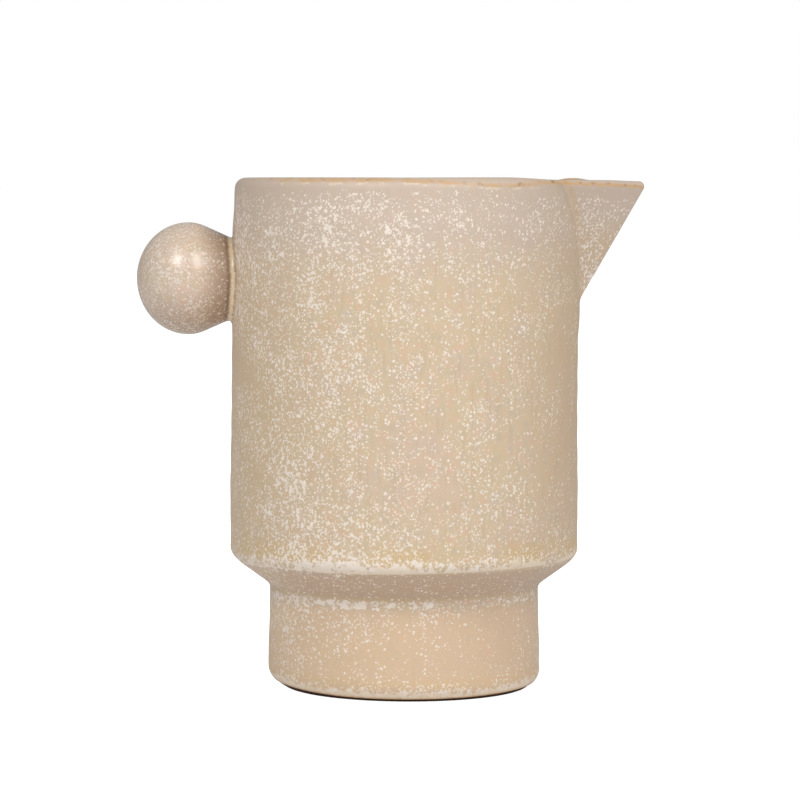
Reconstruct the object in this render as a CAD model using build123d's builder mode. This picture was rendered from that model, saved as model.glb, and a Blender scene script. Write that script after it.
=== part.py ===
from build123d import *
import os
from math import atan2, cos, degrees, hypot, radians, sin, tan

# A stoneware pitcher: a cylinder on a smaller foot, with a beak spout and a ball handle.
# It stands on z = 0 with its axis on Z. The spout points along +X and the ball along -X.

# Driving dimensions, in millimetres and degrees. Outside sizes are over the glaze.
rim_height = 180.0
body_radius = 61.3
shoulder_height = 46.7  # where the straight wall would meet the undercut, without rounding
undercut_angle = 36.0  # of the undercut below the shoulder, from level
foot_radius = 47.85
foot_top_radius = 47.35

wall = 5.5  # clay and both glaze coats together
floor_height = 9.0  # the inside of the floor, over the glaze
ring_inner_radius = 37.5  # inner edge of the ring that the pitcher stands on
recess_depth = 2.6
recess_round = 2.0

glaze = 0.6
bare_height = 1.3  # the outer glaze stops this far above the table
slip = 1.2  # thickness of a slip joint

rim_round = 3.5
inner_rim_round = 1.5
shoulder_round = 5.0
waist_round = 1.5
foot_round = 7.0
inner_corner_round = 7.0

spout_reach = 86.8  # the two sides of the beak would meet here at rim height
spout_half_angle = 41.5  # of the V seen from above
ridge_lean = 29.7  # of the beak's ridge, from vertical
spout_wall = 4.6
ridge_round = 2.0
lip_round = 1.8
lip_drop = 0.7  # how far the beak's lip lies below the rim
beak_length = 42.0  # of the V seen from above, enough to reach inside the wall
beak_drop = 60.0  # along the ridge, enough to end inside the wall

ball_x = -76.6  # centre of the ball
ball_height = 144.3
ball_reach = 18.2  # from the ball's centre to its far end
ball_radius = 19.8
crown_round = 17.0  # radius of the curve from the ball's fullest part towards its far end
neck_turn = 14.0  # radius of the curve from the ball's fullest part into the neck
neck_angle = 24.0  # of the neck's taper
neck_length = 20.0  # enough to end inside the wall
ball_wall = 5.0
vent_radius = 0.8
vent_x = -70.0

overrun = 2.0  # how far a cutting solid passes the rim

# Worked out from the above.
waist_height = shoulder_height - (body_radius - foot_top_radius) * tan(radians(undercut_angle))
inner_radius = body_radius - wall
middle_floor = (floor_height + recess_depth) / 2
lip_height = rim_height - lip_drop
ridge_slope = tan(radians(ridge_lean))
# How far the ridge moves in, at one height, for each millimetre that the sides move in.
ridge_shift = hypot(cos(radians(ridge_lean)), sin(radians(ridge_lean)) * sin(radians(spout_half_angle)))
ridge_shift /= cos(radians(ridge_lean)) * sin(radians(spout_half_angle))
# The ball's far end is a flatter curve that meets the crown's curve smoothly at crown_angle.
crown_drop = ball_radius - crown_round
far_round = (ball_reach**2 + crown_drop**2 - crown_round**2) / (2 * (ball_reach - crown_round))
crown_angle = degrees(atan2(far_round - ball_reach, crown_drop))


def corner_lift(inset):
    """How far the undercut's corners rise when the whole outline moves in by inset."""
    slope = radians(undercut_angle)
    return inset * (1 - sin(slope)) / cos(slope)


def vessel_form(inset):
    """The vessel's outside filled solid, moved in by inset everywhere but at the table."""
    lift = corner_lift(inset)
    top = rim_height - inset
    with BuildPart() as form:
        with BuildSketch(Plane.XZ):
            with BuildLine():
                FilletPolyline(
                    (0, 0),
                    (foot_radius - inset, 0),
                    (foot_top_radius - inset, waist_height + lift),
                    (body_radius - inset, shoulder_height + lift),
                    (body_radius - inset, top),
                    (0, top),
                    radius=[
                        0,
                        foot_round - inset,
                        waist_round + inset,
                        shoulder_round - inset,
                        rim_round - inset,
                        0,
                    ],
                    close=True,
                )
            make_face()
        revolve(axis=Axis.Z)
    return form.part


def vessel_hollow(skin):
    """The space inside, out to a surface that lies skin below the liner glaze."""
    depth = wall - skin
    lift = corner_lift(depth)
    floor = floor_height - skin
    side = body_radius - depth
    foot_side = foot_top_radius - depth
    with BuildPart() as hollow:
        with BuildSketch(Plane.XZ):
            with BuildLine():
                inside = FilletPolyline(
                    (0, floor),
                    (foot_side, floor),
                    (foot_side, waist_height + lift),
                    (side, shoulder_height + lift),
                    (side, rim_height - inner_rim_round),
                    radius=inner_corner_round,
                )
                flare = JernArc(
                    start=inside @ 1,
                    tangent=(0, 1),
                    radius=inner_rim_round - skin,
                    arc_size=-90,
                )
                Polyline(
                    flare @ 1,
                    (inner_radius + inner_rim_round, rim_height + overrun),
                    (0, rim_height + overrun),
                    (0, floor),
                )
            make_face()
        revolve(axis=Axis.Z)
    return hollow.part


def middle_core(top):
    """Everything inside the middle of the wall, which parts the outer glaze from the liner."""
    lift = corner_lift(wall / 2)
    with BuildPart() as core:
        with BuildSketch(Plane.XZ):
            with BuildLine():
                Polyline(
                    (0, middle_floor),
                    (foot_top_radius - wall / 2, middle_floor),
                    (foot_top_radius - wall / 2, waist_height + lift),
                    (body_radius - wall / 2, shoulder_height + lift),
                    (body_radius - wall / 2, top),
                    (0, top),
                    close=True,
                )
            make_face()
        revolve(axis=Axis.Z)
    return core.part


def beak_prism(inset, top, nose_round, top_round=0.0):
    """The beak's V section, its sides moved in by inset, run down along the ridge from top."""
    nose = spout_reach - inset * ridge_shift - (rim_height - top) * ridge_slope
    back = nose - beak_length
    half_width = beak_length * tan(radians(spout_half_angle))
    with BuildPart() as prism:
        with BuildSketch(Plane.XY.offset(top)):
            with BuildLine():
                FilletPolyline(
                    (back, -half_width),
                    (nose, 0),
                    (back, half_width),
                    radius=[0, nose_round, 0],
                    close=True,
                )
            make_face()
        extrude(amount=beak_drop, dir=(-sin(radians(ridge_lean)), 0, -cos(radians(ridge_lean))))
        if top_round:
            lip_edges = prism.edges().group_by(Axis.Z)[-1].sort_by(Axis.X)[1:]
            fillet(lip_edges, radius=top_round)
    return prism.part


def ball_form(inset):
    """The ball and its neck, moved in by inset, running on into the vessel's wall."""
    fullest = (ball_x, ball_height + ball_radius - inset)
    with BuildPart() as ball:
        with BuildSketch(Plane.XZ):
            with BuildLine():
                crown = JernArc(
                    start=fullest,
                    tangent=(-1, 0),
                    radius=crown_round - inset,
                    arc_size=crown_angle,
                )
                far_end = TangentArc(
                    crown @ 1,
                    (ball_x - ball_reach + inset, ball_height),
                    tangent=crown % 1,
                )
                turn = JernArc(
                    start=fullest,
                    tangent=(1, 0),
                    radius=neck_turn - inset,
                    arc_size=-neck_angle,
                )
                neck = Line(turn @ 1, (turn @ 1) + (turn % 1) * neck_length)
                Polyline(neck @ 1, ((neck @ 1).X, ball_height), far_end @ 1)
            make_face()
        revolve(axis=Axis((0, 0, ball_height), (1, 0, 0)))
    return ball.part


# Forms that several pieces share. The clay's surfaces lie one glaze coat below the outside.
glazed_form = vessel_form(0)
clay_form = vessel_form(glaze)
joint_form = vessel_form(glaze - slip)

glazed_hollow = vessel_hollow(0)
clay_hollow = vessel_hollow(glaze)

glazed_beak = beak_prism(0, lip_height, ridge_round, lip_round)
clay_beak = beak_prism(glaze, lip_height - glaze, ridge_round - glaze, lip_round - glaze)
glazed_channel = beak_prism(spout_wall, rim_height + overrun, ridge_round)
clay_channel = beak_prism(spout_wall - glaze, rim_height + overrun, ridge_round)

glazed_ball = ball_form(0)
clay_ball = ball_form(glaze)
ball_hollow = ball_form(ball_wall)

# The space under the floor, inside the ring that the pitcher stands on.
with BuildPart() as recess:
    with BuildSketch(Plane.XY):
        Circle(ring_inner_radius)
    extrude(amount=recess_depth)
    fillet(recess.edges().group_by(Axis.Z)[-1], radius=recess_round)

# A hole that lets steam out of the hollow ball in the kiln.
with BuildPart() as vent:
    with BuildSketch(Plane.XY.offset(ball_height)):
        with Locations((vent_x, 0)):
            Circle(vent_radius)
    extrude(amount=-ball_radius - overrun)

# The vessel, notched behind the spout, with a trimmed recess inside its foot ring.
with BuildPart() as body:
    add(clay_form)
    add(clay_hollow, mode=Mode.SUBTRACT)
    add(clay_channel, mode=Mode.SUBTRACT)
    add(recess.part, mode=Mode.SUBTRACT)

# The beak spout, cut to sit on the slip that covers the wall.
with BuildPart() as spout:
    add(clay_beak)
    add(clay_channel, mode=Mode.SUBTRACT)
    add(joint_form, mode=Mode.SUBTRACT)

# The slip under the spout, between its cut edge and the wall.
with BuildPart() as spout_slip_joint:
    add(clay_beak)
    add(joint_form, mode=Mode.INTERSECT)
    add(clay_form, mode=Mode.SUBTRACT)
    add(clay_channel, mode=Mode.SUBTRACT)

# The hollow ball, open at its neck, with a small vent on its underside.
with BuildPart() as ball_handle:
    add(clay_ball)
    add(ball_hollow, mode=Mode.SUBTRACT)
    add(joint_form, mode=Mode.SUBTRACT)
    add(vent.part, mode=Mode.SUBTRACT)

# The ring of slip between the neck and the wall.
with BuildPart() as handle_slip_joint:
    add(clay_ball)
    add(ball_hollow, mode=Mode.SUBTRACT)
    add(joint_form, mode=Mode.INTERSECT)
    add(clay_form, mode=Mode.SUBTRACT)

# The outer coat, over the vessel, spout and ball, from the foot's bare edge to mid rim.
with BuildPart() as outer_glaze:
    add([glazed_form, glazed_beak, glazed_ball])
    add([clay_form, clay_beak, clay_ball], mode=Mode.SUBTRACT)
    add(middle_core(rim_height + overrun), mode=Mode.SUBTRACT)
    add(beak_prism(spout_wall / 2, rim_height + overrun, ridge_round), mode=Mode.SUBTRACT)
    add(vent.part, mode=Mode.SUBTRACT)
    with BuildSketch(Plane.XY):
        Circle(body_radius)
    extrude(amount=bare_height, mode=Mode.SUBTRACT)

# The lining, over the floor, the wall's inside and the pouring channel, out to mid rim.
with BuildPart() as liner_glaze:
    add(middle_core(rim_height))
    add(beak_prism(spout_wall / 2, lip_height, ridge_round))
    add([glazed_hollow, glazed_channel], mode=Mode.SUBTRACT)
    add([body.part, spout.part, spout_slip_joint.part], mode=Mode.SUBTRACT)

body.part.label = "body"
spout.part.label = "spout"
spout_slip_joint.part.label = "spout_slip_joint"
ball_handle.part.label = "ball_handle"
handle_slip_joint.part.label = "handle_slip_joint"
outer_glaze.part.label = "outer_glaze"
liner_glaze.part.label = "liner_glaze"

os.makedirs("parts", exist_ok=True)
export_step(body.part, "parts/body.step")
export_step(spout.part, "parts/spout.step")
export_step(spout_slip_joint.part, "parts/spout_slip_joint.step")
export_step(ball_handle.part, "parts/ball_handle.step")
export_step(handle_slip_joint.part, "parts/handle_slip_joint.step")
export_step(outer_glaze.part, "parts/outer_glaze.step")
export_step(liner_glaze.part, "parts/liner_glaze.step")
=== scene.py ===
"""The looks of a speckled stoneware pitcher with a beak spout and a ball handle.

Shapes are worked out in millimetres in the frame's own axes and turned into metres when each mesh
is made: +Z up, the spout along +X and the ball along -X.
"""

import math

import bmesh
import bpy
import numpy as np
from mathutils import Matrix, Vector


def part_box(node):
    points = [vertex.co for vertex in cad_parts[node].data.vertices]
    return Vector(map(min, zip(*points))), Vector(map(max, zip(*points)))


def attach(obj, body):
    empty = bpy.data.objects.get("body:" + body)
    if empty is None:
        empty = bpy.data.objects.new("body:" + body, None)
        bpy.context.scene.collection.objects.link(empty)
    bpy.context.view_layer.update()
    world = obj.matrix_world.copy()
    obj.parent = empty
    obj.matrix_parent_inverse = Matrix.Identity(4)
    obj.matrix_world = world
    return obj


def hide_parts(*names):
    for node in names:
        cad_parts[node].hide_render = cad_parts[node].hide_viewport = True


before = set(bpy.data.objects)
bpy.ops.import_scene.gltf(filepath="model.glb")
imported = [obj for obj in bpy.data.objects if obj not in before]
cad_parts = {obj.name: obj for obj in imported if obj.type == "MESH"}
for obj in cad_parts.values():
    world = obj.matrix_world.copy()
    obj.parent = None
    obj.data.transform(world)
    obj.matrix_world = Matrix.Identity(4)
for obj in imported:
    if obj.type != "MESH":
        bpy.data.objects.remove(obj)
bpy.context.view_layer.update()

MM = 0.001

# ---------------------------------------------------------------- sizes from the frame

glaze_low, glaze_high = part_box("outer_glaze")
RIM = glaze_high.z / MM  # height of the rim
BODY_RADIUS = glaze_high.y / MM
BALL_TIP = glaze_low.x / MM
BARE_HEIGHT = glaze_low.z / MM  # the outer glaze ends here, and bare clay shows below it
ball_low, ball_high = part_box("ball_handle")
BALL_HEIGHT = (ball_low.z + ball_high.z) / 2 / MM

# ---------------------------------------------------------------- sizes of the form, in mm

GLAZE = 0.6
WALL = 5.5
SHOULDER = 46.7  # height where the straight wall would meet the undercut
UNDERCUT_SLOPE = math.tan(math.radians(36))
SHOULDER_BLEND = 4.4
WAIST_BLEND = 2.2
FOOT_TOP_RADIUS = 47.35
FOOT_RADIUS = 47.85
FOOT_ROUND = 7.2
FOOT_LOPSIDE = 1.1  # how much rounder the foot's corner is towards the ball
FLOOR = 9.0
FLOOR_ROUND = 7.0
INSIDE_BLEND = 6.0

RING_INNER_RADIUS = 37.5
RECESS_DEPTH = 2.6
RECESS_ROUND = 2.0

SPOUT_REACH = 86.8
HALF_ANGLE = math.radians(41.5)  # of the beak's V, seen from above
RIDGE_LEAN = math.tan(math.radians(29.7))
RIDGE_CUT = 0.75  # how much the ridge's rounding takes off its sharp edge
SPOUT_WALL = 4.6
RIDGE_SHIFT = 1.61  # how far the ridge moves in for each millimetre that the sides move in
SEAM_BLEND = 1.3
LIP_DROP = 0.7  # the beak's lip dips this far below the rim
RIM_LEAN = 1.1  # how far the wall leans in at the rim, on the ball's side
RIM_RISE = 0.3  # the rim rises this much towards the spout
NOSE_DROP = 0.3  # and the lip dips this much again at the tip of the beak
LEAN_FROM = 155  # the wall leans in from this height, over the next LEAN_HEIGHT
LEAN_HEIGHT = 24

RIM_ROUND = 3.9
LIP_ROUND = 1.9
SEAM_LUMP = 0.8  # height of a lump of clay on the lip, where the far side's seam reaches it
LUMP_ANGLE = math.radians(18)
INNER_ROUND = 1.4

BALL_CENTRE = -76.6
BALL_RADIUS = 19.8
NECK_ROUND = 14.0
NECK_SLOPE = math.tan(math.radians(24))
JOINT_BLEND = 1.9
JOINT_SAG = 0.05  # how much softer the joint is for each millimetre down
BALL_COAT = 0.5  # depth of the ball's coat
BACK_DEPTH = GLAZE * 0.8  # depth at which the other coats' unseen sides lie

# Waves in the wall: size, number round the form, drift with height and start.
WAVES = ((0.16, 2, 0.031, 0.6), (0.10, 3, -0.047, 2.1))
# Where the glaze lies thick along a lower edge: height, spread and size.
THICK_ROLLS = ((SHOULDER + 1.2, 2.6, 0.22), (5.2, 2.2, 0.16))
BELLY_HEIGHT = 70  # the straight wall swells slightly here
PRESSED_HEIGHT = 134  # and is pressed outwards here, under the spout

# ---------------------------------------------------------------- shape functions


def smooth_max(a, b, blend):
    """The larger of two lengths, rounded over where they differ by less than blend."""
    near = np.clip(1 - np.abs(a - b) / blend, 0, 1)
    return np.maximum(a, b) + near**2 * blend / 4


def smooth_min(a, b, blend):
    return -smooth_max(-a, -b, blend)


def ease(t):
    """A smooth step from 0 to 1."""
    t = np.clip(t, 0, 1)
    return t * t * (3 - 2 * t)


def bell(z, centre, spread):
    """1 at a height, easing to nothing at about twice the spread from it."""
    return np.exp(-(((z - centre) / spread) ** 2))


def turned_radius(z, inset, shoulder_blend, waist_blend):
    """Radius of the turned form at height z, its outline moved in by inset."""
    slope = math.atan(UNDERCUT_SLOPE)
    lift = inset * (1 - math.sin(slope)) / math.cos(slope)
    flare = (FOOT_RADIUS - FOOT_TOP_RADIUS) * np.clip(1 - z / SHOULDER, 0, 1)
    undercut = BODY_RADIUS - inset - (SHOULDER + lift - z) / UNDERCUT_SLOPE
    foot = FOOT_TOP_RADIUS - inset + flare
    return smooth_min(
        BODY_RADIUS - inset + 0 * z, smooth_max(foot, undercut, waist_blend), shoulder_blend
    )


def rounded_foot(radius, z, corner, bottom):
    """The same radius, rounded in by corner towards a flat bottom."""
    rise = np.clip((z - bottom) / corner, 0, 1)
    return radius - corner * (1 - np.sqrt(np.clip(1 - (1 - rise) ** 2, 0, 1)))


def handwork(angle, z):
    """The slight unevenness of a hand-finished wall, in mm."""
    slow = sum(
        size * np.sin(count * angle + drift * z + start) for size, count, drift, start in WAVES
    )
    rings = 0.05 * np.sin(0.55 * z + 0.8 * np.sin(angle)) * ease((z - 50) / 20)
    flare = 0.3 * ease((26 - z) / 12)
    belly = 0.25 * bell(z, BELLY_HEIGHT, 14)
    pressed = 0.6 * bell(z, PRESSED_HEIGHT, 7) * ease((np.cos(angle) - 0.8) / 0.2)
    return slow * ease((z - 2) / 12) + rings + flare + belly + pressed


def rim_lean(angle, z):
    """How far the wall leans in below the rim, most on the ball's side."""
    return RIM_LEAN * (0.6 - 0.4 * np.cos(angle)) * ease((z - LEAN_FROM) / LEAN_HEIGHT)


def outer_turned(angle, z):
    """Radius of the glazed outside without its spout, with the glaze thick on its lower edges."""
    radius = turned_radius(z, 0, SHOULDER_BLEND, WAIST_BLEND)
    for height, spread, size in THICK_ROLLS:
        radius = radius + size * bell(z, height, spread)
    corner = FOOT_ROUND - FOOT_LOPSIDE * np.cos(angle)
    return rounded_foot(radius, z, corner, 0) + handwork(angle, z) - rim_lean(angle, z)


def beak_radius(angle, z, inset):
    """Distance from the axis to the beak's sides, moved in by inset."""
    nose = SPOUT_REACH - inset * RIDGE_SHIFT - (RIM - z) * RIDGE_LEAN
    soft = RIDGE_CUT * math.tan(HALF_ANGLE) / np.maximum(nose, 20)
    swing = np.sqrt(angle**2 + soft**2)
    spread = np.sin(np.minimum(HALF_ANGLE + swing, math.pi / 2))
    return nose * math.sin(HALF_ANGLE) / spread


def outer_radius(angle, z):
    return smooth_max(outer_turned(angle, z), beak_radius(angle, z, 0), SEAM_BLEND)


def inner_turned(angle, z):
    """Radius of the glazed inside without the pouring channel."""
    radius = turned_radius(z, WALL, INSIDE_BLEND, INSIDE_BLEND)
    return rounded_foot(radius, z, FLOOR_ROUND, FLOOR) - rim_lean(angle, z)


def inner_radius(angle, z):
    return smooth_max(inner_turned(angle, z), beak_radius(angle, z, SPOUT_WALL), SEAM_BLEND)


def beak_share(angle):
    """0 on the plain rim and 1 on the beak's lip."""
    return ease((0.95 - np.abs(angle)) / 0.45)


def leaning(surface, angle, z):
    """Angle by which a surface leans outwards as it rises."""
    step = 0.5
    return np.arctan((surface(angle, z) - surface(angle, z - step)) / step)


# ---------------------------------------------------------------- meshes


def ring(radius, angle, z):
    """One closed row of points round the axis."""
    z = z + 0 * angle
    return np.stack([radius * np.cos(angle), radius * np.sin(angle), z], axis=-1)


def skin(name, rows, wrap=False, creases=(), marks=None):
    """A closed mesh through rows of points, each row a closed ring.

    wrap joins the last row to the first; otherwise a fan closes each end. Rows named in creases
    keep a sharp edge. marks are numbers for each point, which the materials read.
    """
    rows = np.asarray(rows, float)
    count, around = rows.shape[:2]
    points = rows.reshape(-1, 3)
    column = np.arange(around)
    following = (column + 1) % around
    last = count if wrap else count - 1
    quads = []
    for row in range(last):
        here, there = row * around, (row + 1) % count * around
        quads.append(
            np.stack([here + column, here + following, there + following, there + column], axis=1)
        )
    faces = np.concatenate(quads).tolist()
    if not wrap:
        points = np.vstack([points, rows[0].mean(0), rows[-1].mean(0)])
        start, end = count * around, count * around + 1
        below = (count - 1) * around
        faces += [(start, int(b), int(a)) for a, b in zip(column, following)]
        faces += [(end, int(below + a), int(below + b)) for a, b in zip(column, following)]
    mesh = bpy.data.meshes.new(name)
    mesh.from_pydata((points * MM).tolist(), [], faces)
    mesh.polygons.foreach_set("use_smooth", np.ones(len(mesh.polygons), bool))
    for key, values in (marks or {}).items():
        filled = np.zeros(len(points), np.float32)
        filled[: count * around] = np.asarray(values, np.float32).ravel()
        mesh.attributes.new(key, "FLOAT", "POINT").data.foreach_set("value", filled)
    turn_outwards(mesh, around, creases)
    made = bpy.data.objects.new(name, mesh)
    bpy.context.scene.collection.objects.link(made)
    return made


def turn_outwards(mesh, around, creases):
    """Points a closed mesh's faces outwards and sharpens the edges that lie along crease rows."""
    work = bmesh.new()
    work.from_mesh(mesh)
    bmesh.ops.recalc_face_normals(work, faces=work.faces)
    for edge in work.edges:
        a, b = (vertex.index // around for vertex in edge.verts)
        if a == b and a in creases:
            edge.smooth = False
    work.to_mesh(mesh)
    work.free()


def spaced(*stretches):
    """Heights or angles as even stretches: pairs of a start and the number of steps from it."""
    values = []
    for (start, steps), (end, _) in zip(stretches, stretches[1:]):
        values += list(np.linspace(start, end, steps, endpoint=False))
    return np.array(values + [stretches[-1][0]])


# Columns are close together on the ridge and the spout's seams, and wider apart elsewhere.
half_turn = spaced((0, 12), (0.06, 70), (0.55, 84), (math.pi, 0))
ANGLES = np.concatenate([half_turn, -half_turn[-2:0:-1]])
SHARE = beak_share(ANGLES)
TOP = RIM + RIM_RISE * np.clip(np.cos(ANGLES) * 1.5, 0, 1) - LIP_DROP * SHARE
TOP = TOP + SEAM_LUMP * ease(1 - np.abs(ANGLES - LUMP_ANGLE) / 0.11)
TOP = TOP - NOSE_DROP * ease(1 - np.abs(ANGLES) / 0.16)
ROUND = RIM_ROUND + (LIP_ROUND - RIM_ROUND) * SHARE
STRETCH_FROM = RIM - 16
FOOT_STRETCH_TO = 7.5
# The glaze stops higher at the ends of the foot than at its front and back.
BARE_RISE = np.where(np.cos(ANGLES) < 0, 1.9, 1.0) * np.abs(np.cos(ANGLES)) ** 3


def fitted(z, end):
    """Height z, with the stretches at the rim and the foot fitted to their ends at each column."""
    top = RIM - RIM_ROUND
    share = np.clip((z - STRETCH_FROM) / (top - STRETCH_FROM), 0, 1)
    foot_share = np.clip((FOOT_STRETCH_TO - z) / (FOOT_STRETCH_TO - BARE_HEIGHT), 0, 1)
    return z + share * (end - top) + foot_share * BARE_RISE


def rim_edge(surface, corner, side):
    """Where a surface stops and the rim's rounding starts: lean, centre radius and end height.

    side is 1 outside and -1 inside.
    """
    lean = leaning(surface, ANGLES, TOP - corner)
    end = TOP - corner - side * corner * np.sin(lean)
    centre = surface(ANGLES, end) - side * corner * np.cos(lean)
    return lean, centre, end


outer_lean, outer_centre, outer_end = rim_edge(outer_radius, ROUND, 1)
inner_lean, inner_centre, inner_end = rim_edge(inner_radius, INNER_ROUND, -1)
RIM_MIDDLE = (outer_centre + inner_centre) / 2


def outer_rim_rows(depth, steps):
    """The rounding from the outer wall to the middle of the rim, moved in by depth."""
    rows = []
    for share in np.linspace(0, 1, steps)[1:]:
        turn = -outer_lean + share * (math.pi / 2 + outer_lean)
        reach = ROUND - depth
        radius = outer_centre + reach * np.cos(turn)
        rows.append(ring(radius, ANGLES, TOP - ROUND + reach * np.sin(turn)))
    rows.append(ring(RIM_MIDDLE, ANGLES, TOP - depth))
    return rows


def inner_rim_rows(depth, steps):
    """The rounding from the middle of the rim down to the inner wall, moved in by depth."""
    rows = [ring(RIM_MIDDLE, ANGLES, TOP - depth)]
    reach = INNER_ROUND - depth
    for share in np.linspace(0, 1, steps)[:-1]:
        turn = math.pi / 2 + share * (math.pi / 2 - inner_lean)
        radius = inner_centre + reach * np.cos(turn)
        rows.append(ring(radius, ANGLES, TOP - INNER_ROUND + reach * np.sin(turn)))
    return rows


def seam_mark(z):
    """1 where the spout's sides meet the wall, towards 2 on the spout and 0 on the wall."""
    gap = beak_radius(ANGLES, z, 0) - outer_turned(ANGLES, z)
    return 1 + np.tanh(gap / 1.5)


def make_vessel_glaze():
    """The outer coat of the vessel and spout, from the foot's bare edge to the rim's middle."""
    heights = spaced(
        (BARE_HEIGHT, 12),
        (FOOT_STRETCH_TO, 16),
        (32.5, 12),
        (39, 12),
        (44, 16),
        (51, 46),
        (134, 44),
        (RIM - RIM_ROUND, 0),
    )
    shown = []
    for z in heights:
        z = fitted(z, outer_end)
        shown.append(ring(outer_radius(ANGLES, z), ANGLES, z))
    shown += outer_rim_rows(0, 10)
    hidden = []
    for z in heights[::3]:
        z = fitted(z, outer_end)
        hidden.append(ring(outer_radius(ANGLES, z) - BACK_DEPTH, ANGLES, z))
    hidden += outer_rim_rows(BACK_DEPTH, 5)
    rows = shown + hidden[::-1]
    marks = {
        "seam": [seam_mark(row[:, 2]) for row in rows],
        "lip": [SHARE for row in rows],
        "below_top": [TOP - row[:, 2] for row in rows],
        "above_bare": [row[:, 2] - BARE_HEIGHT - BARE_RISE for row in rows],
    }
    creases = (0, len(shown) - 1, len(shown), len(rows) - 1)
    made = skin("vessel_glaze", rows, wrap=True, creases=creases, marks=marks)
    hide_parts("outer_glaze")
    return made


def make_liner_glaze():
    """The coat inside, from the middle of the rim down to the floor."""
    heights = spaced(
        (FLOOR, 12), (FLOOR + FLOOR_ROUND, 12), (34, 16), (54, 30), (126, 34), (RIM - RIM_ROUND, 0)
    )
    floor_radii = np.linspace(2, inner_radius(math.pi, np.array(FLOOR)), 14, endpoint=False)
    shown = [ring(r + 0 * ANGLES, ANGLES, FLOOR) for r in floor_radii]
    for z in heights:
        z = fitted(z, inner_end)
        shown.append(ring(inner_radius(ANGLES, z), ANGLES, z))
    shown += inner_rim_rows(0, 7)[::-1]
    hidden = inner_rim_rows(GLAZE, 4)
    for z in heights[::-3]:
        z = fitted(z, inner_end)
        hidden.append(ring(inner_radius(ANGLES, z) + BACK_DEPTH, ANGLES, z))
    hidden += [ring(r + 0 * ANGLES, ANGLES, FLOOR - GLAZE) for r in floor_radii[::-3]]
    creases = (len(shown) - 1, len(shown))
    made = skin("inner_glaze", shown + hidden, creases=creases)
    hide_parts("liner_glaze")
    return made


def ball_outline(x):
    """Radius of the ball and neck at x, seen from the side."""
    out = BALL_CENTRE - x
    reach = BALL_CENTRE - BALL_TIP
    far = BALL_RADIUS * np.sqrt(np.clip(1 - (np.clip(out, 0, None) / reach) ** 2, 0, 1))
    turn = math.atan(NECK_SLOPE)
    inward = np.clip(-out, 0, None)
    curve_end = NECK_ROUND * math.sin(turn)
    drop = NECK_ROUND - np.sqrt(NECK_ROUND**2 - np.minimum(inward, curve_end) ** 2)
    drop = drop + np.clip(inward - curve_end, 0, None) * NECK_SLOPE
    return np.where(out > 0, far, BALL_RADIUS - drop)


def make_ball_glaze():
    """The ball's coat, running out into the wall's coat with a soft fillet."""
    roll = np.linspace(0, 2 * math.pi, 180, endpoint=False)
    y, h = np.sin(roll), np.cos(roll)
    rows, lows = [], []

    def add(x, radius, low=0.0):
        x = x + 0 * roll
        rows.append(np.stack([x, radius * y, radius * h], axis=-1))
        lows.append(low)

    reach = BALL_CENTRE - BALL_TIP
    for turn in np.linspace(0.03, math.pi / 2, 30):
        x = BALL_CENTRE - reach * math.cos(turn)
        add(x, ball_outline(x))
    neck_end = ball_outline(-BODY_RADIUS)
    wall_x = -np.sqrt(BODY_RADIUS**2 - (neck_end * y) ** 2)
    for share in spaced((0, 12), (0.8, 12), (1, 0))[1:]:
        x = BALL_CENTRE + share * (wall_x - BALL_CENTRE)
        add(x, ball_outline(x))
    for step in spaced((0, 10), (1.6, 8), (4.6, 0))[1:]:
        radius = neck_end + step
        add(-np.sqrt(BODY_RADIUS**2 - (radius * y) ** 2), radius, 0.12 * ease((step - 3.2) / 1.4))
    shown = [settle(row, low) for row, low in zip(rows, lows)]
    hidden = [settle(row, BALL_COAT) for row in rows[::2]]
    every = shown + hidden[::-1]
    creases = (len(shown) - 1, len(shown))
    placed = [row + np.array([0, 0, BALL_HEIGHT]) for row in every]
    made = skin("ball_glaze", placed, creases=creases)
    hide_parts("outer_glaze")
    return made


def joint_distance(points):
    """How far points stand out from the ball blended into the wall, measured near the joint."""
    x, y, h = points[..., 0], points[..., 1], points[..., 2]
    angle = np.arctan2(y, x)
    wall = np.hypot(x, y) - outer_turned(angle, BALL_HEIGHT + h)
    ball = (np.hypot(y, h) - ball_outline(x)) * 0.92
    return smooth_min(wall, ball, JOINT_BLEND - JOINT_SAG * h)


def settle(row, depth):
    """Moves a row of points onto the blended surface, or depth below it."""
    step = 0.01
    rounds, pull = 12, 0.8
    beyond = row[..., 0] < BALL_CENTRE
    points = row.copy()
    for _ in range(rounds):
        value = joint_distance(points) + depth
        slope = np.stack(
            [
                (joint_distance(points + offset) - joint_distance(points - offset)) / (2 * step)
                for offset in np.eye(3) * step
            ],
            axis=-1,
        )
        size = np.maximum((slope**2).sum(-1, keepdims=True), 0.2)
        points = points - pull * value[..., None] * slope / size
    inward = row - np.array([BALL_CENTRE, 0, 0])
    length = np.linalg.norm(inward, axis=-1, keepdims=True)
    return np.where(beyond[..., None], row - inward / length * depth, points)


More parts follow.
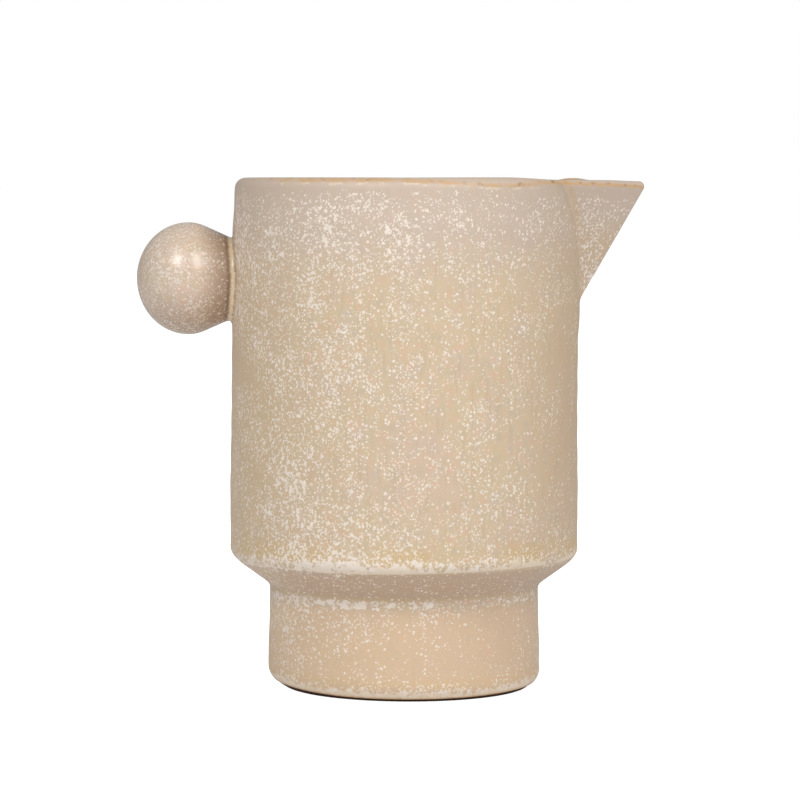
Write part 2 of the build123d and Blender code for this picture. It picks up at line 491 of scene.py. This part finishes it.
def make_stoneware_body():
    """The clay vessel, seen on its bare foot ring and its trimmed underside."""
    around = 256
    turn = np.linspace(-math.pi, math.pi, around, endpoint=False)

    def plain(radius, z):
        return ring(radius + 0 * turn, turn, z)

    rows = []
    recess = np.linspace(2, RING_INNER_RADIUS - RECESS_ROUND, 90)
    for radius in recess:
        groove = 0.11 * math.sin(radius * 2.6) + 0.05 * math.sin(radius * 6.1 + 1)
        rows.append(plain(radius, RECESS_DEPTH + groove * ease(np.array((36 - radius) / 3))))
    for turned in np.linspace(0, math.pi / 2, 8)[1:]:
        rows.append(
            plain(
                RING_INNER_RADIUS - RECESS_ROUND + RECESS_ROUND * math.sin(turned),
                RECESS_DEPTH - RECESS_ROUND * (1 - math.cos(turned)),
            )
        )
    rows.append(plain(RING_INNER_RADIUS, 0.35))
    rows.append(plain(RING_INNER_RADIUS + 0.35, 0))
    for z in FOOT_ROUND * (1 - np.cos(np.linspace(0, math.pi / 2, 16))):
        rows.append(ring(outer_turned(turn, z) - GLAZE * ease(z / 1.0), turn, z))
    for z in spaced((8, 8), (34, 14), (52, 10), (RIM - RIM_ROUND, 0)):
        rows.append(ring(outer_turned(turn, z) - GLAZE, turn, z))
    top = RIM - GLAZE - LIP_DROP * beak_share(turn)
    middle = BODY_RADIUS - WALL / 2 - rim_lean(turn, RIM)
    rows.append(ring(middle + 0.6, turn, top))
    rows.append(ring(middle - 0.6, turn, top))
    inside = ((RIM - RIM_ROUND, 10), (52, 14), (34, 8), (FLOOR + FLOOR_ROUND, 10), (FLOOR, 0))
    for z in spaced(*inside):
        rows.append(ring(inner_turned(turn, z) + GLAZE, turn, z - GLAZE * ease((20 - z) / 8)))
    rows.append(plain(2.0, FLOOR - GLAZE))
    made = skin("stoneware_body", rows)
    cut_channel(made)
    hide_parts("body")
    return made


def cut_channel(body):
    """Notches the clay wall behind the spout with the channel's V."""
    top, drop, length = RIM + 3, 60, 36
    inset = SPOUT_WALL - GLAZE
    points = []
    for z in (top, top - drop):
        nose = SPOUT_REACH - inset * RIDGE_SHIFT - (RIM - z) * RIDGE_LEAN
        back = nose - length
        half = length * math.tan(HALF_ANGLE)
        points += [(nose, 0, z), (back, half, z), (back, -half, z)]
    mesh = bpy.data.meshes.new("channel_cutter")
    sides = [(0, 1, 2), (5, 4, 3), (0, 3, 4, 1), (1, 4, 5, 2), (2, 5, 3, 0)]
    mesh.from_pydata([tuple(MM * c for c in p) for p in points], [], sides)
    turn_outwards(mesh, 1, ())
    cutter = bpy.data.objects.new("channel_cutter", mesh)
    bpy.context.scene.collection.objects.link(cutter)
    cut = body.modifiers.new("channel", "BOOLEAN")
    cut.operation = "DIFFERENCE"
    cut.solver = "EXACT"
    cut.object = cutter
    shape = bpy.data.meshes.new_from_object(
        body.evaluated_get(bpy.context.evaluated_depsgraph_get())
    )
    body.modifiers.clear()
    body.data = shape
    bpy.data.objects.remove(cutter)


# ---------------------------------------------------------------- materials


def node(tree, kind, inputs=None, **settings):
    """Adds a node, sets its options and fills its inputs with values or links."""
    made = tree.nodes.new(kind)
    for key, value in settings.items():
        setattr(made, key, value)
    for key, value in (inputs or {}).items():
        if isinstance(value, bpy.types.NodeSocket):
            tree.links.new(value, made.inputs[key])
        else:
            made.inputs[key].default_value = value
    return made


def calc(tree, operation, a, b=0.0):
    return node(tree, "ShaderNodeMath", {0: a, 1: b}, operation=operation).outputs[0]


def times(tree, *values):
    product = values[0]
    for value in values[1:]:
        product = calc(tree, "MULTIPLY", product, value)
    return product


def total(tree, *values):
    result = values[0]
    for value in values[1:]:
        result = calc(tree, "ADD", result, value)
    return result


def span(tree, value, low, high, start=0.0, end=1.0):
    """Eases from start to end as the value goes from low to high. High may be below low."""
    made = node(
        tree,
        "ShaderNodeMapRange",
        {"Value": value, "From Min": low, "From Max": high, "To Min": start, "To Max": end},
        interpolation_type="SMOOTHSTEP",
    )
    return made.outputs["Result"]


def band(tree, value, low, high, soft):
    """1 while the value is between low and high, with soft edges."""
    rise = span(tree, calc(tree, "SUBTRACT", value, low), -soft, soft)
    fall = span(tree, calc(tree, "SUBTRACT", value, high), soft, -soft)
    return times(tree, rise, fall)


def blend(tree, share, a, b):
    """Mixes two colours."""
    made = tree.nodes.new("ShaderNodeMix")
    made.data_type = "RGBA"
    for key, value in ((0, share), (6, a), (7, b)):
        if isinstance(value, bpy.types.NodeSocket):
            tree.links.new(value, made.inputs[key])
        else:
            made.inputs[key].default_value = value
    return made.outputs[2]


def tint(red, green, blue):
    """A colour given as it looks on a screen, from 0 to 255, as the light it stands for."""
    return [*[((c / 255 + 0.055) / 1.055) ** 2.4 for c in (red, green, blue)], 1.0]


def vector(tree, operation, a, b):
    key = "Scale" if operation == "SCALE" else 1
    return node(tree, "ShaderNodeVectorMath", {0: a, key: b}, operation=operation).outputs[0]


def noise(tree, point, size, detail=2.0, rough=0.5, tall=1.0, shift=0.0):
    """Noise from about 0.3 to 0.7 with features size mm apart, drawn out in height by tall."""
    mapped = node(
        tree,
        "ShaderNodeMapping",
        {"Vector": point, "Location": (shift, shift, shift), "Scale": (1, 1, 1 / tall)},
    )
    made = node(
        tree,
        "ShaderNodeTexNoise",
        {"Vector": mapped.outputs[0], "Scale": 1 / size, "Detail": detail, "Roughness": rough},
    )
    return made.outputs["Fac"]


def from_axis(tree, point):
    """Distance from the pitcher's axis."""
    flat = vector(tree, "MULTIPLY", point, (1, 1, 0))
    return node(tree, "ShaderNodeVectorMath", {0: flat}, operation="LENGTH").outputs["Value"]


def near(tree, point, centre, reach):
    """1 at a centre, easing to 0 at reach mm from it in x, y and z."""
    away = vector(tree, "DIVIDE", vector(tree, "SUBTRACT", point, centre), reach)
    length = node(tree, "ShaderNodeVectorMath", {0: away}, operation="LENGTH").outputs["Value"]
    return span(tree, length, 1.0, 0.0)


def on_wall(angle, height, out=BODY_RADIUS):
    """The point of the wall at an angle in degrees, where -90 is the front and 0 the spout."""
    turn = math.radians(angle)
    return (out * math.cos(turn), out * math.sin(turn), height)


def clumps(tree, point, size, cover, shift):
    """Crystals run together: none while cover is under about 0.2, nearly everywhere at 1."""
    grown = noise(tree, point, size, 2.0, 0.55, 1.0, shift)
    edge = calc(tree, "SUBTRACT", 0.74, times(tree, cover, 0.42))
    return span(tree, calc(tree, "SUBTRACT", grown, edge), -0.01, 0.05)


def grains(tree, point, cell, smallest, largest, share, shift):
    """Round grains of many sizes, one to a cell, in a share of the cells. Sizes are in mm."""
    moved = vector(tree, "ADD", point, (shift, shift, shift))
    cells = node(tree, "ShaderNodeTexVoronoi", {"Vector": moved, "Scale": 1 / cell})
    chance = node(tree, "ShaderNodeSeparateColor", {0: cells.outputs["Color"]})
    size = span(tree, chance.outputs[0], 0, 1, smallest / cell, largest / cell)
    inside = calc(tree, "SUBTRACT", size, cells.outputs["Distance"])
    shown = span(tree, calc(tree, "SUBTRACT", share, chance.outputs[1]), -0.04, 0.04)
    return times(tree, span(tree, inside, -0.05 / cell, 0.10 / cell), shown)


def speckle(tree, point, cover, scale=1.0):
    """Cream specks from single grains to crowded clumps, their edges bent a little."""
    bend = node(tree, "ShaderNodeTexNoise", {"Vector": point, "Scale": 1 / 0.8, "Detail": 1.0})
    bend = vector(tree, "SUBTRACT", bend.outputs["Color"], (0.5, 0.5, 0.5))
    bent = vector(tree, "ADD", point, vector(tree, "SCALE", bend, 0.6))
    specks = clumps(tree, bent, 1.5 * scale, cover, 5.0)
    for cell, smallest, largest, often, shift, strength in (
        (1.25, 0.10, 0.52, times(tree, cover, 2.4), 0.0, 1.0),
        (0.90, 0.08, 0.38, times(tree, cover, 2.6), 31.0, 0.95),
        (0.75, 0.06, 0.30, total(tree, times(tree, cover, 1.6), 0.12), 57.0, 0.85),
    ):
        layer = grains(tree, bent, cell * scale, smallest, largest * scale, often, shift)
        specks = calc(tree, "MAXIMUM", specks, times(tree, layer, strength))
    return specks


def start_material(name):
    """An empty material, with the surface's place in millimetres."""
    material = bpy.data.materials.new(name)
    material.use_nodes = True
    tree = material.node_tree
    tree.nodes.clear()
    place = node(tree, "ShaderNodeTexCoord").outputs["Object"]
    return material, tree, vector(tree, "SCALE", place, 1 / MM)


def finish_material(tree, colour, roughness, relief, depth, shine=0.4):
    """Lights a colour, with a relief from 0 to 1 that stands depth mm high."""
    surface = node(
        tree,
        "ShaderNodeBsdfPrincipled",
        {"Base Color": colour, "Roughness": roughness, "Specular IOR Level": shine},
    )
    bump = node(tree, "ShaderNodeBump", {"Height": relief, "Strength": 1.0, "Distance": depth * MM})
    tree.links.new(bump.outputs[0], surface.inputs["Normal"])
    out = node(tree, "ShaderNodeOutputMaterial")
    tree.links.new(surface.outputs[0], out.inputs["Surface"])


def drifting_ground(tree, point, tone):
    """The glaze under its crystals: tone drifting to rose, mauve and ochre, run in thin streaks."""
    wide = noise(tree, point, 34, 2, 0.5, 1.5)
    patch = noise(tree, point, 9, 3, 0.6, 1.5, 11)
    small = noise(tree, point, 3.4, 2, 0.6, 1.2, 23)
    tiny = noise(tree, point, 2.1, 2, 0.6, 1.1, 29)
    streak = noise(tree, point, 1.5, 2, 0.5, 9, 37)
    ground = blend(tree, span(tree, wide, 0.45, 0.65, 0, 0.6), tone, tint(214, 189, 168))
    ground = blend(tree, span(tree, patch, 0.50, 0.68, 0, 0.45), ground, tint(209, 187, 175))
    ground = blend(tree, span(tree, patch, 0.47, 0.32, 0, 0.35), ground, tint(208, 187, 152))
    ground = blend(tree, span(tree, small, 0.52, 0.70, 0, 0.60), ground, tint(222, 184, 157))
    ground = blend(tree, span(tree, small, 0.48, 0.30, 0, 0.45), ground, tint(197, 182, 166))
    ground = blend(tree, span(tree, tiny, 0.50, 0.68, 0, 0.35), ground, tint(206, 184, 144))
    ground = blend(tree, span(tree, streak, 0.50, 0.72, 0, 0.42), ground, tint(198, 176, 146))
    return ground


def make_vessel_coat():
    """The outer glaze: crystals crowd where it lies thick, and it thins to orange on the edges."""
    material, tree, point = start_material("speckled_glaze")
    spoutward = node(tree, "ShaderNodeSeparateXYZ", {0: point}).outputs["X"]
    height = node(tree, "ShaderNodeSeparateXYZ", {0: point}).outputs["Z"]
    seam = node(tree, "ShaderNodeAttribute", attribute_name="seam").outputs["Fac"]
    lip = node(tree, "ShaderNodeAttribute", attribute_name="lip").outputs["Fac"]
    below_top = node(tree, "ShaderNodeAttribute", attribute_name="below_top").outputs["Fac"]
    above_bare = node(tree, "ShaderNodeAttribute", attribute_name="above_bare").outputs["Fac"]
    ragged = calc(tree, "SUBTRACT", noise(tree, point, 3.0, 3, 0.6, 1.0, 5), 0.5)
    around = noise(tree, point, 17, 2, 0.5, 2.0, 71)

    ground = drifting_ground(tree, point, tint(213, 192, 162))
    grey_top = times(tree, span(tree, height, 138, 166), 0.6)
    ground = blend(tree, grey_top, ground, tint(202, 185, 174))
    ochre_side = near(tree, point, on_wall(-150, 95), (50, 60, 95))
    ground = blend(tree, times(tree, ochre_side, 0.7), ground, tint(208, 184, 149))
    ochre_joint = near(tree, point, on_wall(-165, 142), (30, 40, 32))
    ground = blend(tree, times(tree, ochre_joint, 0.5), ground, tint(206, 182, 148))
    tan_side = near(tree, point, on_wall(-12, 100), (46, 52, 130))
    ground = blend(tree, times(tree, tan_side, 0.7), ground, tint(207, 179, 146))
    rosy_foot = span(tree, height, 34, 30)
    ground = blend(tree, times(tree, rosy_foot, 0.6), ground, tint(221, 191, 159))
    on_spout = span(tree, seam, 1.2, 2.0)
    ground = blend(tree, times(tree, on_spout, 0.7), ground, tint(203, 184, 169))
    low_spout = times(tree, on_spout, span(tree, height, 170, 156, 0, 0.6))
    ground = blend(tree, low_spout, ground, tint(206, 181, 148))

    # Where the glaze lies thick: drifts on the wall, and along the lower edges of the form.
    crowd = noise(tree, point, 13, 3, 0.6, 1.2, 47)
    cover = span(tree, crowd, 0.34, 0.68, 0.04, 0.30)
    for angle, level, reach, amount in (
        (-118, 160, (44, 44, 26), 0.22),
        (-158, 150, (26, 40, 40), 0.24),
        (-108, 54, (46, 44, 15), 0.20),
        (-150, 30, (26, 40, 22), 0.20),
        (-84, 162, (34, 40, 15), 0.10),
        (-120, 105, (32, 40, 70), 0.22),
        (-128, 60, (36, 44, 34), 0.22),
        (-170, 120, (40, 60, 90), 0.14),
        (-150, 26, (24, 40, 28), 0.26),
        (-112, 170, (50, 44, 9), 0.12),
        (-168, 119, (20, 34, 17), -0.40),
        (-152, 41, (20, 30, 9), 0.28),
        (-128, 31, (22, 40, 13), 0.20),
        (60, 150, (50, 40, 30), 0.20),
        (120, 70, (50, 50, 34), 0.25),
        (-20, 110, (44, 44, 80), -0.08),
    ):
        drift = near(tree, point, on_wall(angle, level), reach)
        cover = total(tree, cover, times(tree, drift, amount))
    bare_rim = span(tree, total(tree, below_top, times(tree, ragged, 12)), 3.0, 8.0)
    nose_clear = span(tree, spoutward, 64, 76)
    cover = times(tree, cover, span(tree, nose_clear, 0, 1, 1.0, 0.5))
    spout_crowd = times(tree, on_spout, span(tree, nose_clear, 0, 1, 0.24, 0.0))
    cover = total(tree, cover, spout_crowd)
    cover = times(tree, cover, bare_rim)
    under = band(tree, height, 35.6, 45.8, 0.5)
    cover = times(tree, cover, span(tree, under, 0, 1, 1.0, 0.8))
    corner = band(tree, total(tree, height, times(tree, ragged, 5)), 32.2, 35.2, 0.6)
    corner = times(tree, corner, span(tree, around, 0.40, 0.58, 0.44, 0.64))
    corner = times(tree, corner, span(tree, spoutward, 30, -10, 0.75, 1.0))
    foot_clear = times(tree, rosy_foot, near(tree, point, on_wall(-55, 18, 48), (44, 44, 26)))
    cover = times(tree, cover, span(tree, foot_clear, 0, 1, 1.0, 0.35))
    above_edge = calc(tree, "SUBTRACT", height, total(tree, 46.0, times(tree, spoutward, 0.018)))
    thick = times(tree, span(tree, above_edge, 8, 1), span(tree, above_edge, 0, 0.3))
    thick = times(tree, thick, span(tree, spoutward, 54, -10, 0.30, 0.70))
    thick = times(tree, thick, span(tree, spoutward, -30, -52, 1.0, 0.72))
    foot_thick = times(tree, span(tree, above_bare, 6.5, 1.2), 0.58)
    thick = total(tree, thick, foot_thick, corner)
    cover = total(tree, cover, times(tree, thick, 0.4))
    specks = times(tree, speckle(tree, point, cover), span(tree, bare_rim, 0, 0.5))
    specks = calc(tree, "MAXIMUM", specks, clumps(tree, point, 2.7, thick, 17.0))

    # Thick melted rolls of glaze along the shoulder and the foot, with honey above them; painted
    # shade on the undercut and in the corner below it.
    roll_top = total(tree, 1.6, times(tree, ragged, 10), span(tree, around, 0.35, 0.60, -1.2, 0.8))
    roll = times(tree, band(tree, above_edge, 0.0, roll_top, 0.3), span(tree, spoutward, -40, -18))
    foot_top = total(tree, 2.2, times(tree, ragged, 7))
    foot_roll = band(tree, above_bare, 0.5, foot_top, 0.35)
    rolls = calc(tree, "MAXIMUM", roll, times(tree, foot_roll, 0.9))
    honey_and_corner_shade = band(tree, height, 48.0, 54.5, 3.5)
    honey_and_corner_shade = times(tree, honey_and_corner_shade, span(tree, around, 0.36, 0.52, 0.3, 1.2))
    foot_honey = band(tree, height, 5.5, 8.0, 1.8)
    # Painted shade in the concave corner between the undercut and the foot, laid on in a honey
    # tone.
    corner_shade = band(tree, height, 35.4, 36.6, 0.8)
    # The real honey of the shoulder and foot edges, together with the painted shade in the corner.
    honey_and_corner_shade = total(tree, honey_and_corner_shade, times(tree, foot_honey, 0.6), times(tree, corner_shade, 0.7))
    under_shade = times(tree, under, span(tree, spoutward, -50, -30, 0.2, 0.8))
    ground = blend(tree, under_shade, ground, tint(197, 172, 150))
    ground = blend(tree, times(tree, honey_and_corner_shade, 0.55), ground, tint(211, 182, 132))

    cream = blend(
        tree, noise(tree, point, 2.0, 2, 0.5, 1.0, 91), tint(230, 214, 198), tint(248, 238, 227)
    )
    colour = blend(tree, specks, ground, cream)
    colour = blend(tree, times(tree, rolls, 0.85), colour, tint(237, 221, 199))

    # Thin glaze: orange on the rim's and lip's edges, along the seam and at the foot's bare edge;
    # also painted shade in the seam's crease and a painted highlight line under the rim's orange.
    worn = noise(tree, point, 5, 3, 0.6, 1.0, 59)
    sunk = times(tree, span(tree, spoutward, -6, 36, 0, -1.9), calc(tree, "SUBTRACT", 1.0, lip))
    below_rim = total(tree, below_top, times(tree, ragged, 1.8), sunk)
    rim_side = near(tree, point, on_wall(-78, RIM), (96, 70, 30))
    rim_side = times(tree, span(tree, rim_side, 0, 0.4), calc(tree, "SUBTRACT", 1.0, lip))
    rim_line = times(tree, band(tree, below_rim, 0.3, 1.5, 0.5), rim_side)
    rim_line = times(tree, rim_line, span(tree, worn, 0.36, 0.56, 0.45, 1.0))
    # Painted highlight: a pale line on the rim's rounding, just under the orange edge.
    rim_highlight_line = times(tree, band(tree, below_rim, 1.7, 2.3, 0.3), rim_side)
    rim_highlight_line = times(tree, rim_highlight_line, span(tree, worn, 0.5, 0.6))
    noseward = calc(tree, "MAXIMUM", calc(tree, "SUBTRACT", spoutward, 55), 0)
    below_lip = total(tree, below_top, times(tree, ragged, 1.6), times(tree, noseward, -0.03))
    lip_line = times(tree, band(tree, below_lip, 0.7, 1.6, 0.5), lip)
    seam_stain = times(tree, band(tree, seam, 1.45, 1.85, 0.15), span(tree, height, 155, 170))
    # Painted shade: the crease where the spout's side meets the wall, darkened towards olive.
    crease = times(tree, band(tree, seam, 0.45, 1.0, 0.4), span(tree, height, 135, 150))
    foot_line = span(tree, above_bare, 0.8, 0.2)
    orange = total(
        tree,
        times(tree, rim_line, 0.7),
        times(tree, lip_line, 0.8),
        times(tree, seam_stain, 0.32),
        times(tree, foot_line, 0.7),
    )
    rust = blend(tree, span(tree, ragged, 0.05, 0.2), tint(208, 166, 112), tint(160, 108, 66))
    # Painted shade laid into the seam's crease.
    colour = blend(tree, times(tree, crease, 0.28), colour, tint(170, 150, 114))
    colour = blend(tree, times(tree, rim_highlight_line, 0.5), colour, tint(240, 224, 198))
    colour = blend(tree, calc(tree, "MINIMUM", orange, 1.0), colour, rust)

    # A few specks of iron, one drawn-out streak, and a painted shadow on the lump of the lip where
    # the far seam reaches it.
    grid = node(tree, "ShaderNodeTexVoronoi", {"Vector": point, "Scale": 1 / 11})
    chosen = node(tree, "ShaderNodeSeparateColor", {0: grid.outputs["Color"]}).outputs[0]
    iron = times(
        tree,
        span(tree, grid.outputs["Distance"], 0.035, 0.015),
        calc(tree, "GREATER_THAN", chosen, 0.72),
    )
    streak = near(tree, point, on_wall(-153.4, 169.6), (0.9, 0.9, 1.9))
    lump_shadow = near(tree, point, on_wall(math.degrees(LUMP_ANGLE), RIM + 1), (6, 6, 2.2))
    # The iron mask also carries the painted shadow on the lip's lump.
    iron = calc(tree, "MAXIMUM", iron, calc(tree, "MAXIMUM", streak, lump_shadow))
    colour = blend(tree, times(tree, iron, 0.8), colour, tint(112, 78, 44))

    relief = total(tree, times(tree, specks, 0.5), times(tree, rolls, 0.5))
    roughness = span(tree, relief, 0, 0.6, 0.46, 0.58)
    finish_material(tree, colour, roughness, relief, 0.05)
    return material


def make_ball_coat():
    """The same glaze on the ball, with finer crystals, a browner, thinner neck that is darkened
    further by painted shade next to the wall, and painted shade on its lower half.
    """
    material, tree, point = start_material("speckled_ball_glaze")
    height = node(tree, "ShaderNodeSeparateXYZ", {0: point}).outputs["Z"]
    out = calc(tree, "SUBTRACT", from_axis(tree, point), BODY_RADIUS)
    ragged = calc(tree, "SUBTRACT", noise(tree, point, 2.5, 2, 0.6, 1.0, 5), 0.5)
    ground = drifting_ground(tree, point, tint(213, 192, 172))
    # The neck darkens towards the wall: partly its own browner glaze and partly painted shade cast
    # by the wall.
    neck = span(tree, out, 13, 3)
    ground = blend(tree, times(tree, neck, 0.8), ground, tint(168, 141, 117))
    # Painted shade: the lower half of the ball darkens away from the light; the same mask also adds
    # crystals there.
    low = span(tree, height, BALL_HEIGHT, BALL_HEIGHT - 17)
    ground = blend(tree, times(tree, low, 0.55), ground, tint(180, 151, 126))
    crowd = noise(tree, point, 9, 3, 0.6, 1.0, 47)
    cover = span(tree, crowd, 0.34, 0.68, 0.16, 0.46)
    cover = total(tree, cover, times(tree, low, 0.12))
    cover = times(tree, cover, span(tree, neck, 0, 1, 1.0, 0.6))
    specks = speckle(tree, point, cover, 0.85)
    colour = blend(tree, times(tree, specks, 0.9), ground, tint(233, 220, 206))

    # Glaze pooled in a pale bead round the joint, brightened further as a painted highlight, with a
    # dark line where it thins.
    around_joint = total(tree, out, times(tree, ragged, 1.2))
    thin = band(tree, around_joint, 1.7, 2.7, 0.4)
    # Pooled glaze, lightened with a painted highlight.
    bead_and_highlight = band(tree, around_joint, 0.0, 1.3, 0.3)
    colour = blend(tree, times(tree, thin, 0.55), colour, tint(126, 96, 70))
    colour = blend(tree, times(tree, bead_and_highlight, 0.75), colour, tint(248, 226, 188))
    gloss = span(tree, specks, 0, 1, 0.25, 0.36)
    finish_material(tree, colour, gloss, times(tree, specks, 0.5), 0.03, 0.8)
    return material


def make_liner_coat():
    """The lining: the same glaze, thinner and less crowded, pooled to ochre on the floor."""
    material, tree, point = start_material("lining_glaze")
    height = node(tree, "ShaderNodeSeparateXYZ", {0: point}).outputs["Z"]
    ground = drifting_ground(tree, point, tint(204, 182, 150))
    pool = span(tree, height, 24, 10)
    ground = blend(tree, times(tree, pool, 0.5), ground, tint(196, 166, 118))
    crowd = noise(tree, point, 15, 3, 0.6, 1.4, 61)
    cover = span(tree, crowd, 0.30, 0.70, 0.02, 0.26)
    cover = times(tree, cover, span(tree, height, 176, 168))
    specks = speckle(tree, point, cover)
    colour = blend(tree, times(tree, specks, 0.85), ground, tint(238, 224, 202))
    edge = span(tree, height, 177.5, 179.3)
    colour = blend(tree, times(tree, edge, 0.5), colour, tint(205, 160, 108))
    roughness = span(tree, specks, 0, 1, 0.42, 0.55)
    finish_material(tree, colour, roughness, times(tree, specks, 0.5), 0.05)
    return material


def make_clay(name, dark, light):
    """Bare fired clay with grog and iron specks."""
    material, tree, point = start_material(name)
    cloud = noise(tree, point, 9, 4, 0.6)
    grain = noise(tree, point, 0.8, 3, 0.6, 1.0, 7)
    colour = blend(tree, span(tree, cloud, 0.35, 0.65), dark, light)
    colour = blend(tree, span(tree, grain, 0.52, 0.68, 0, 0.5), colour, tint(80, 54, 38))
    # Darker at the foot ring's outer edge: partly the clay's own dark colour and partly painted
    # shadow of the gap under the glaze's edge.
    edge = span(tree, from_axis(tree, point), 39, 40.5)
    colour = blend(tree, times(tree, edge, 0.8), colour, tint(58, 38, 28))
    rough = span(tree, grain, 0.3, 0.7, 0.75, 0.92)
    finish_material(tree, colour, rough, grain, 0.15, 0.2)
    return material


# ---------------------------------------------------------------- the object

vessel_glaze = make_vessel_glaze()
ball_glaze = make_ball_glaze()
inner_glaze = make_liner_glaze()
stoneware_body = make_stoneware_body()

clay = make_clay("bare_clay", tint(96, 66, 46), tint(132, 92, 64))
slip = make_clay("joint_slip", tint(120, 88, 64), tint(148, 110, 82))

for piece, material, slot in (
    (vessel_glaze, make_vessel_coat(), "outer_glaze"),
    (ball_glaze, make_ball_coat(), "outer_glaze"),
    (inner_glaze, make_liner_coat(), "liner_glaze"),
    (stoneware_body, clay, "stoneware"),
):
    piece.data.materials.clear()
    piece.data.materials.append(material)
    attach(piece, "root")

for name, material in (
    ("spout", clay),
    ("ball_handle", clay),
    ("spout_slip_joint", slip),
    ("handle_slip_joint", slip),
):
    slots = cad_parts[name].data.materials
    slots.clear()
    slots.append(material)

# ---------------------------------------------------------------- studio

ROOM_LIGHT = 0.33  # the surroundings as a light; the camera sees them as white
FLOOR_GLOW = 0.09  # the same for the floor
CAMERA_LENS = 154.5
CAMERA_PLACE = (-0.00163, -1.2146, 0.1747)
CAMERA_PITCH = 0.0602  # how far the camera tips down, in radians
CAMERA_ROLL = 0.004


def make_stage():
    """A wide pale floor."""
    mesh = bpy.data.meshes.new("floor")
    reach = 6.0
    corners = [(-reach, -reach, 0), (reach, -reach, 0), (reach, reach, 0), (-reach, reach, 0)]
    mesh.from_pydata(corners, [], [(0, 1, 2, 3)])
    floor = bpy.data.objects.new("floor", mesh)
    bpy.context.scene.collection.objects.link(floor)
    material = bpy.data.materials.new("pale_floor")
    material.use_nodes = True
    tree = material.node_tree
    tree.nodes.clear()
    seen = node(tree, "ShaderNodeLightPath").outputs["Is Camera Ray"]
    glow = node(tree, "ShaderNodeEmission", {"Strength": span(tree, seen, 0, 1, FLOOR_GLOW, 1.0)})
    matte = node(tree, "ShaderNodeBsdfDiffuse", {"Color": (0.8, 0.8, 0.8, 1)})
    both = node(tree, "ShaderNodeAddShader", {0: glow.outputs[0], 1: matte.outputs[0]})
    out = node(tree, "ShaderNodeOutputMaterial")
    tree.links.new(both.outputs[0], out.inputs["Surface"])
    mesh.materials.append(material)


def make_softbox(name, azimuth, elevation, distance, size, power):
    """A square soft light aimed at the middle of the pitcher."""
    data = bpy.data.lights.new(name, "AREA")
    data.shape = "SQUARE"
    data.size = size
    data.energy = power
    light = bpy.data.objects.new(name, data)
    bpy.context.scene.collection.objects.link(light)
    a, e = math.radians(azimuth), math.radians(elevation)
    away = np.array([math.sin(a) * math.cos(e), -math.cos(a) * math.cos(e), math.sin(e)])
    light.location = np.array([0, 0, 0.09]) + away * distance
    turn = Matrix.Rotation(a, 4, "Z") @ Matrix.Rotation(math.pi / 2 - e, 4, "X")
    light.rotation_euler = turn.to_euler()


def make_world():
    """Even white surroundings, brighter to the camera than as a light."""
    world = bpy.data.worlds.new("studio")
    world.use_nodes = True
    tree = world.node_tree
    tree.nodes.clear()
    path = node(tree, "ShaderNodeLightPath").outputs["Is Camera Ray"]
    strength = span(tree, path, 0, 1, ROOM_LIGHT, 1.0)
    back = node(tree, "ShaderNodeBackground", {"Color": (1, 1, 1, 1), "Strength": strength})
    out = node(tree, "ShaderNodeOutputWorld")
    tree.links.new(back.outputs[0], out.inputs["Surface"])
    bpy.context.scene.world = world


def make_camera():
    """A long lens level with the rim, tipped slightly down."""
    data = bpy.data.cameras.new("camera")
    data.sensor_width = 36
    data.lens = CAMERA_LENS
    camera = bpy.data.objects.new("camera", data)
    bpy.context.scene.collection.objects.link(camera)
    camera.location = CAMERA_PLACE
    tip = Matrix.Rotation(math.pi / 2 - CAMERA_PITCH, 4, "X")
    turn = tip @ Matrix.Rotation(CAMERA_ROLL, 4, "Z")
    camera.rotation_euler = turn.to_euler()
    bpy.context.scene.camera = camera


make_stage()
make_world()
make_softbox("left_softbox", -31, 39, 1.5, 0.46, 7.5)
make_softbox("right_softbox", 36, 39, 1.5, 0.74, 9.5)
make_camera()
bpy.context.scene.view_settings.view_transform = "Standard"

# ---------------------------------------------------------------- hand over

bpy.context.view_layer.update()
